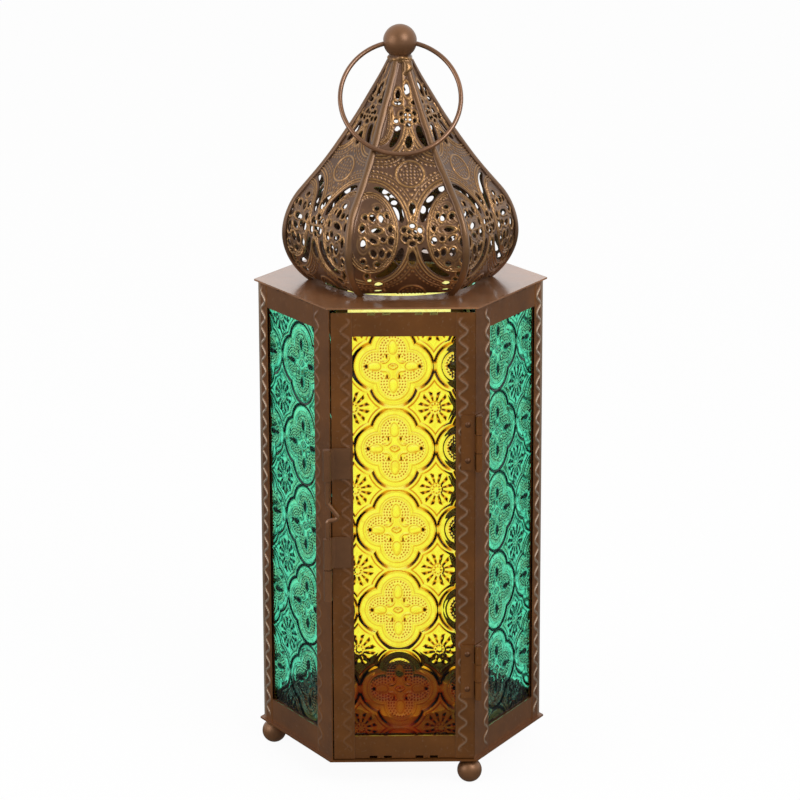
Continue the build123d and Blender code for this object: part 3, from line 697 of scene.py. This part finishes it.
def make_stile(node, glass_edge, wear_and_sheen):
    """A flat strip of the door with its wave beside the glass."""
    low, high = box_mm(node)
    away = stations(high[0] - low[0])
    across = low[0] + away if glass_edge == low[0] else (high[0] - away)[::-1]
    plan = np.stack([across, np.full(len(across), low[1])], 1)
    normals = np.tile([0.0, -1.0], (len(across), 1))
    waved_strip(f"waved_{node}", plan, normals, np.abs(across - glass_edge), low[2], high[2], 2.0, 0, "door", node,
                wear_and_sheen)


make_stile("door_latch_stile", box_mm("door_latch_stile")[1][0], 0.05)
make_stile("door_hinge_stile", box_mm("door_hinge_stile")[0][0], 0.22)


# Glass
def quatrefoil(x, z):
    """Distance outside a four-lobed outline: the nearest of four circles on the axes. Also how far the outline faces
    sideways."""
    x, z = np.abs(x), np.abs(z)
    beside, above = np.hypot(x - lobe_middle, z), np.hypot(x, z - lobe_middle)
    sideways = np.where(beside < above, (x - lobe_middle) / np.maximum(beside, 0.01), x / np.maximum(above, 0.01))
    return np.minimum(beside, above) - lobe_radius, np.abs(sideways)


def pressed_pattern(x, z, upright):
    """Height of the pressed pattern, the painted shade of its lines and its field of pits: quatrefoils on a lattice
    and a twelve-leaved daisy in each gap. A quatrefoil has a soft rim, a sharp step down, a hollow band, a thin line,
    then rows of pits round a cross of four petals, with curls between them and a small lozenge in the middle. The
    step gets painted shade on its flanks, and all round where upright is one, which also gives painted shade to the
    petals and pits. The daisy's strokes and a ring of dashes get painted shade as well."""
    x, z = x * motif / motif_width, z * motif / motif_height
    px = x - motif * np.round(x / motif)
    pz = z - motif * np.round(z / motif)
    ax, az = np.abs(px), np.abs(pz)
    q, sideways = quatrefoil(px, pz)
    flank = np.maximum(step_up(sideways, 0.25, 0.65), upright) * step_up(az, 0.4, 1.6)
    height = 0.28 * ridge(q - 0.8, 0.8) + 0.07 * ridge(q - 1.9, 0.4)
    height += -0.40 * step_up(-q, -0.10, 0.34) + 0.26 * step_up(-q, 0.5, 2.2) + 0.20 * ridge(q + 2.75, 0.45)
    # Painted shade along the lines of the relief: darkest on the step's flanks.
    painted_shade_lines = [step_up(0.62 - np.abs(q + 0.05), 0.0, 0.24) * flank, 0.75 * ridge(q - 1.45, 0.4) * flank,
            0.35 * ridge(q + 0.75, 0.3), 0.42 * ridge(q + 2.3, 0.32), 0.25 * ridge(q + 3.15, 0.25)]

    swap = az > ax
    lobe_x, lobe_z = np.where(swap, az, ax), np.where(swap, ax, az)
    past = lobe_x - petal_middle
    petal = np.hypot(past / 2.3, lobe_z / (1.45 - 0.10 * past))
    field = step_up(-q, 3.2, 3.5) * step_up(petal, 1.15, 1.35) * step_up(np.hypot(px, pz), 3.9, 4.5)
    row = (-q - 0.2) / pit_row
    along = np.arctan2(lobe_z, lobe_x - lobe_middle) * np.maximum(7.5 - pit_row * np.round(row), 1.0)
    pits = np.cos(np.pi * row) ** 2 * np.cos(np.pi * (along / 0.95 + 0.5 * np.round(row))) ** 2 * field
    tip = ridge(np.hypot((lobe_x - 9.0) / 1.0, lobe_z / 1.15), 1.0) * ~swap
    bar = step_up(1.0 - np.hypot(past / 2.3, lobe_z / 1.25), 0.0, 0.35) * upright
    height += 0.40 * np.clip(1 - petal**2, 0, 1) - 0.26 * pits - 0.35 * tip
    painted_shade_lines += [(0.85 + 0.15 * upright) * step_up(pits, 0.15 - 0.12 * upright, 0.8 - 0.4 * upright),
             0.5 * ridge(petal - 1.0, 0.17), step_up(tip, 0.15, 0.5), bar]

    curl = np.hypot(ax - 3.1, az - 3.1)
    height += 0.34 * ridge(curl - 1.75, 0.5) * step_up(6.0 - ax - az, 0.0, 1.2)
    height += 0.34 * ridge(ax / 1.7 + az / 1.1 - 0.8, 0.5)
    painted_shade_lines += [step_up(ridge(np.hypot((ax - 2.1) / 0.5, (az - 3.4) / 1.2), 1.0), 0.05, 0.5),
             (0.5 + 0.5 * upright) * ridge(np.hypot((ax - 3.4) / 1.1, (az - 1.75) / 0.45), 1.0),
             0.6 * ridge(np.hypot(ax / 1.6, az / 1.0) - 1.0, 0.22)]

    dx = x - motif * (np.floor(x / motif) + 0.5)
    dz = z - motif * (np.floor(z / motif) + 0.5)
    out, turn = np.hypot(dx, dz), np.arctan2(dz, dx)
    reach = 5.6 + 0.6 * np.cos(6 * turn)
    height += 0.42 * np.abs(np.cos(6 * turn)) ** 0.6 * step_up(out, 1.7, 2.2) * step_up(reach - out, 0.0, 2.2)
    height += 0.34 * ridge(out - 1.2, 0.45) * (0.4 + 0.6 * np.cos(4 * turn) ** 2)
    valley = np.abs(np.arcsin(np.cos(6 * turn)) / 6) * out
    stroke = step_up(0.34 + 0.14 * upright + 0.11 * (out - 2) - valley, 0.0, 0.2)
    stroke = stroke * step_up(out, 2.0, 2.4) * step_up(reach - out, 0.0, 0.3)
    stroke *= 1 - 0.6 * ridge(out - 3.9, 0.5)
    dash = ridge(out - 1.3, 0.45) * step_up(np.cos(8 * turn), 0.0, 0.6)
    return height, np.maximum.reduce([*painted_shade_lines, stroke, 0.9 * dash]), field


def make_pane(name, node, side, shift, upright, weight, step, body, finish, slot):
    """A pane whose outer face carries the pressed relief, sunk so that its highest place is the plain face, with a
    plain back and rim. Its lines carry painted shade: the share of steepness along the height in it is given by
    upright, and its darkness by weight. Its border, outside the window that the strips leave, is marked as covered,
    with a soft edge, and so is a frame on its back, at the foot and head only where the pane is seen aslant. Covered
    glass is painted the strips' brown, as painted shade."""
    low, high = box_mm(node)
    if side:
        back_low, back_high = box_mm("glass_back")
        x0, x1, front, rear = back_low[0], back_high[0], -back_high[1], -back_low[1]
        half = corner_radius / 2 - post_flange
        foot, head = box_mm("bottom_rail_back")[1][2], box_mm("top_rail_back")[0][2]
    else:
        x0, x1, front, rear = low[0], high[0], low[1], high[1]
        half = box_mm("door_hinge_stile")[0][0] - (x0 + x1) / 2
        foot, head = box_mm("door_bottom_rail")[1][2], box_mm("door_top_rail")[0][2]
    aslant = side not in (0, 3)
    soft = 0.5 if aslant else 0.2
    z, x = np.meshgrid(np.linspace(low[2], high[2], int((high[2] - low[2]) / step)),
                       np.linspace(x0, x1, int((x1 - x0) / step)), indexing="ij")
    relief, line, field = pressed_pattern(x - shift[0] + shift[2] * (z - shift[1]), z - shift[1], upright)
    relief = relief - relief.max()
    slope_z, slope_x = np.gradient(relief, z[:, 0], x[0])
    # Painted shade on the relief's lower sides and steep places, painted highlight on its upper sides.
    tilt = slope_z - 0.35 * slope_x
    steep = step_up(np.hypot(slope_x, max(upright, 0.3) * slope_z), 0.15, 0.9)
    line = weight * np.maximum(0.5 * np.maximum(steep, step_up(tilt, 0.1, 0.5)), line)
    field = np.maximum(field, step_up(-tilt, 0.1, 0.5))
    within = np.minimum(half - np.abs(x - (x0 + x1) / 2), np.minimum(z - foot, head - z))
    covered = step_up(-within, -soft, 0.0)
    face = np.stack([x, front - relief_depth * relief, z], -1)
    rows, columns = x.shape
    ring = np.concatenate([np.arange(columns), np.arange(1, rows) * columns + columns - 1,
                           (rows - 1) * columns + np.arange(columns - 2, -1, -1),
                           np.arange(rows - 2, 0, -1) * columns])
    points = face.reshape(-1, 3)
    behind = points[ring] * [1, 0, 1] + [0, rear, 0]
    part = np.array([0.999 if aslant else 2 * half / (x1 - x0), 1, (head - foot) / (high[2] - low[2])])
    middle = np.array([(x0 + x1) / 2, rear, (low[2] + high[2]) / 2])
    inset = (behind - middle) * part + [middle[0], rear, (foot + head) / 2]
    mirror = len(points) + np.arange(len(ring))
    inner = mirror + len(ring)
    walls = np.stack([np.roll(ring, -1), ring, mirror, np.roll(mirror, -1)], 1)
    border = np.stack([np.roll(mirror, -1), mirror, inner, np.roll(inner, -1)], 1)
    quads = grid_quads(rows, columns)
    polygons = [quads, walls, border, inner[None, ::-1]]
    covered = np.concatenate([covered.ravel()[quads].ravel(), np.zeros(walls.size), np.ones(border.size),
                              np.zeros(len(ring))])
    line = np.concatenate([line.ravel(), np.zeros(2 * len(ring))])
    field = np.concatenate([field.ravel(), np.zeros(2 * len(ring))])
    put(name, turned(np.concatenate([points, behind, inset]), 60 * side), polygons, body, finish, slot, [node],
               line=line, field=field, covered=covered)


# Where a motif's middle lies, across and up, and the lean of the pattern
make_pane("pressed_door_glass", "door_glass", 0, (-2.2, 92.5, 0.0176), 0.0, 1.0, 0.27, "door", amber, "amber_glass")
pane_shift = {1: (-7.0, 123.1, 0.0), 2: (5.0, 97.0, 0.01), 3: (1.5, 104.0, -0.012), 4: (-4.0, 117.0, 0.0),
              5: (4.7, 118.1, 0.026)}
for side, shift in pane_shift.items():
    node = f"glass_{SIDES[side]}"
    finish, slot = (pale_amber, "amber_glass") if side == 3 else (green, "green_glass")
    # The back pane's lines get lighter painted shade.
    weight = 0.4 if side == 3 else 1.0
    step = 0.29 if side in (1, 5) else 0.38
    make_pane(f"pressed_{node}", node, side, shift, 1.0, weight, step, "frame", finish, slot)


# Finishes of the CAD nodes that stay
kept_finish = {"top_plate": lit_plate_bronze, "hinge_rivets": dull_bronze}
kept_finish |= dict.fromkeys(["base_plate", "candle_cup"], floor_bronze)
kept_finish |= dict.fromkeys(["ball_finial", "foot_left", "foot_front_right", "foot_back_right"], ball_bronze)
kept_finish |= dict.fromkeys(["ring_handle", "latch_pin", "hinge_pins", "latch_upper_sleeve", "latch_lower_sleeve",
                              "latch_keeper"], wire_bronze)
for name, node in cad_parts.items():
    node.data.materials.clear()
    node.data.materials.append(kept_finish.get(name, sheet_bronze))


# Stage
def ray_kinds(recipe):
    """One for a ray of each kind: from the camera or through glass, and off a reflection."""
    camera = recipe.add("ShaderNodeLightPath", output="Is Camera Ray")
    through = recipe.add("ShaderNodeLightPath", output="Is Transmission Ray")
    glossy = recipe.add("ShaderNodeLightPath", output="Is Glossy Ray")
    return (camera + through).least(1.0), glossy * (1 - through)


def make_stage():
    """A wide pale floor that keeps the shadow and shows white, greyer in reflections near the lantern, and a white
    world, greyer in reflections on the side of the door."""
    mesh = bpy.data.meshes.new("floor")
    mesh.from_pydata([(-9, -9, 0), (9, -9, 0), (9, 9, 0), (-9, 9, 0)], [], [(0, 1, 2, 3)])
    floor = bpy.data.objects.new("floor", mesh)
    bpy.context.collection.objects.link(floor)
    material, recipe = new_finish("floor_white")
    direct, glossy = ray_kinds(recipe)
    place = recipe.add("ShaderNodeTexCoord", output="Object")
    distance = recipe.add("ShaderNodeVectorMath", {"operation": "LENGTH"}, {0: place}, "Value")
    near = glossy * (1 - recipe.spread(distance, 0.8, 2.2))
    shown = recipe.blend(near, (1.0, 1.0, 1.0, 1.0), (0.12, 0.12, 0.12, 1.0))
    plain = recipe.add("ShaderNodeBsdfDiffuse", {}, {"Color": (0.88, 0.88, 0.87, 1.0)})
    white = recipe.add("ShaderNodeEmission", {}, {"Color": shown, "Strength": 1.0})
    mixed = recipe.add("ShaderNodeMixShader", {}, {0: (direct * 0.95 + glossy).least(1.0), 1: plain, 2: white})
    recipe.add("ShaderNodeOutputMaterial", {}, {"Surface": mixed})
    mesh.materials.append(material)
    world = bpy.data.worlds.new("studio")
    world.use_nodes = True
    bpy.context.scene.world = world
    recipe = Recipe(world.node_tree)
    direct, glossy = ray_kinds(recipe)
    way = recipe.add("ShaderNodeSeparateXYZ", {}, {0: recipe.add("ShaderNodeTexCoord", output="Generated")}, "Y")
    behind = recipe.spread(way, -0.7, 0.0)
    sky = recipe.add("ShaderNodeBackground", {}, {"Color": (1.0, 1.0, 1.0, 1.0), "Strength":
                     (direct * 0.3 + glossy * (behind * 0.65 - 0.35) + 0.7).least(1.0)})
    recipe.add("ShaderNodeOutputWorld", {}, {"Surface": sky})


def add_lamp(name, place, size, power):
    """A soft square lamp, in metres and watts, turned towards the middle of the lantern."""
    light = bpy.data.lights.new(name, "AREA")
    light.size = size
    light.energy = power
    lamp = bpy.data.objects.new(name, light)
    bpy.context.collection.objects.link(lamp)
    lamp.location = place
    towards = Vector((0.0, 0.0, 0.13)) - Vector(place)
    lamp.rotation_euler = towards.to_track_quat("-Z", "Y").to_euler()


def add_camera():
    """The photograph's camera: 147 mm lens, 15 degrees down."""
    lens = bpy.data.cameras.new("camera")
    lens.sensor_width = 36.0
    lens.lens = 147.08
    lens.clip_start = 0.05
    lens.clip_end = 60.0
    camera = bpy.data.objects.new("camera", lens)
    bpy.context.collection.objects.link(camera)
    down, right, roll = math.radians(15.1657), math.radians(0.7351), math.radians(-0.1717)
    camera.matrix_world = (Matrix.Translation((-0.014556, -1.10675, 0.42708)) @ Matrix.Rotation(-right, 4, "Z")
                           @ Matrix.Rotation(math.pi / 2 - down, 4, "X") @ Matrix.Rotation(roll, 4, "Z"))
    bpy.context.scene.camera = camera


make_stage()
add_lamp("key", (0.55, -0.75, 0.85), 0.6, 7.0)
add_lamp("fill", (-0.8, -0.5, 0.5), 0.6, 3.0)
add_camera()
bpy.context.scene.view_settings.view_transform = "Standard"
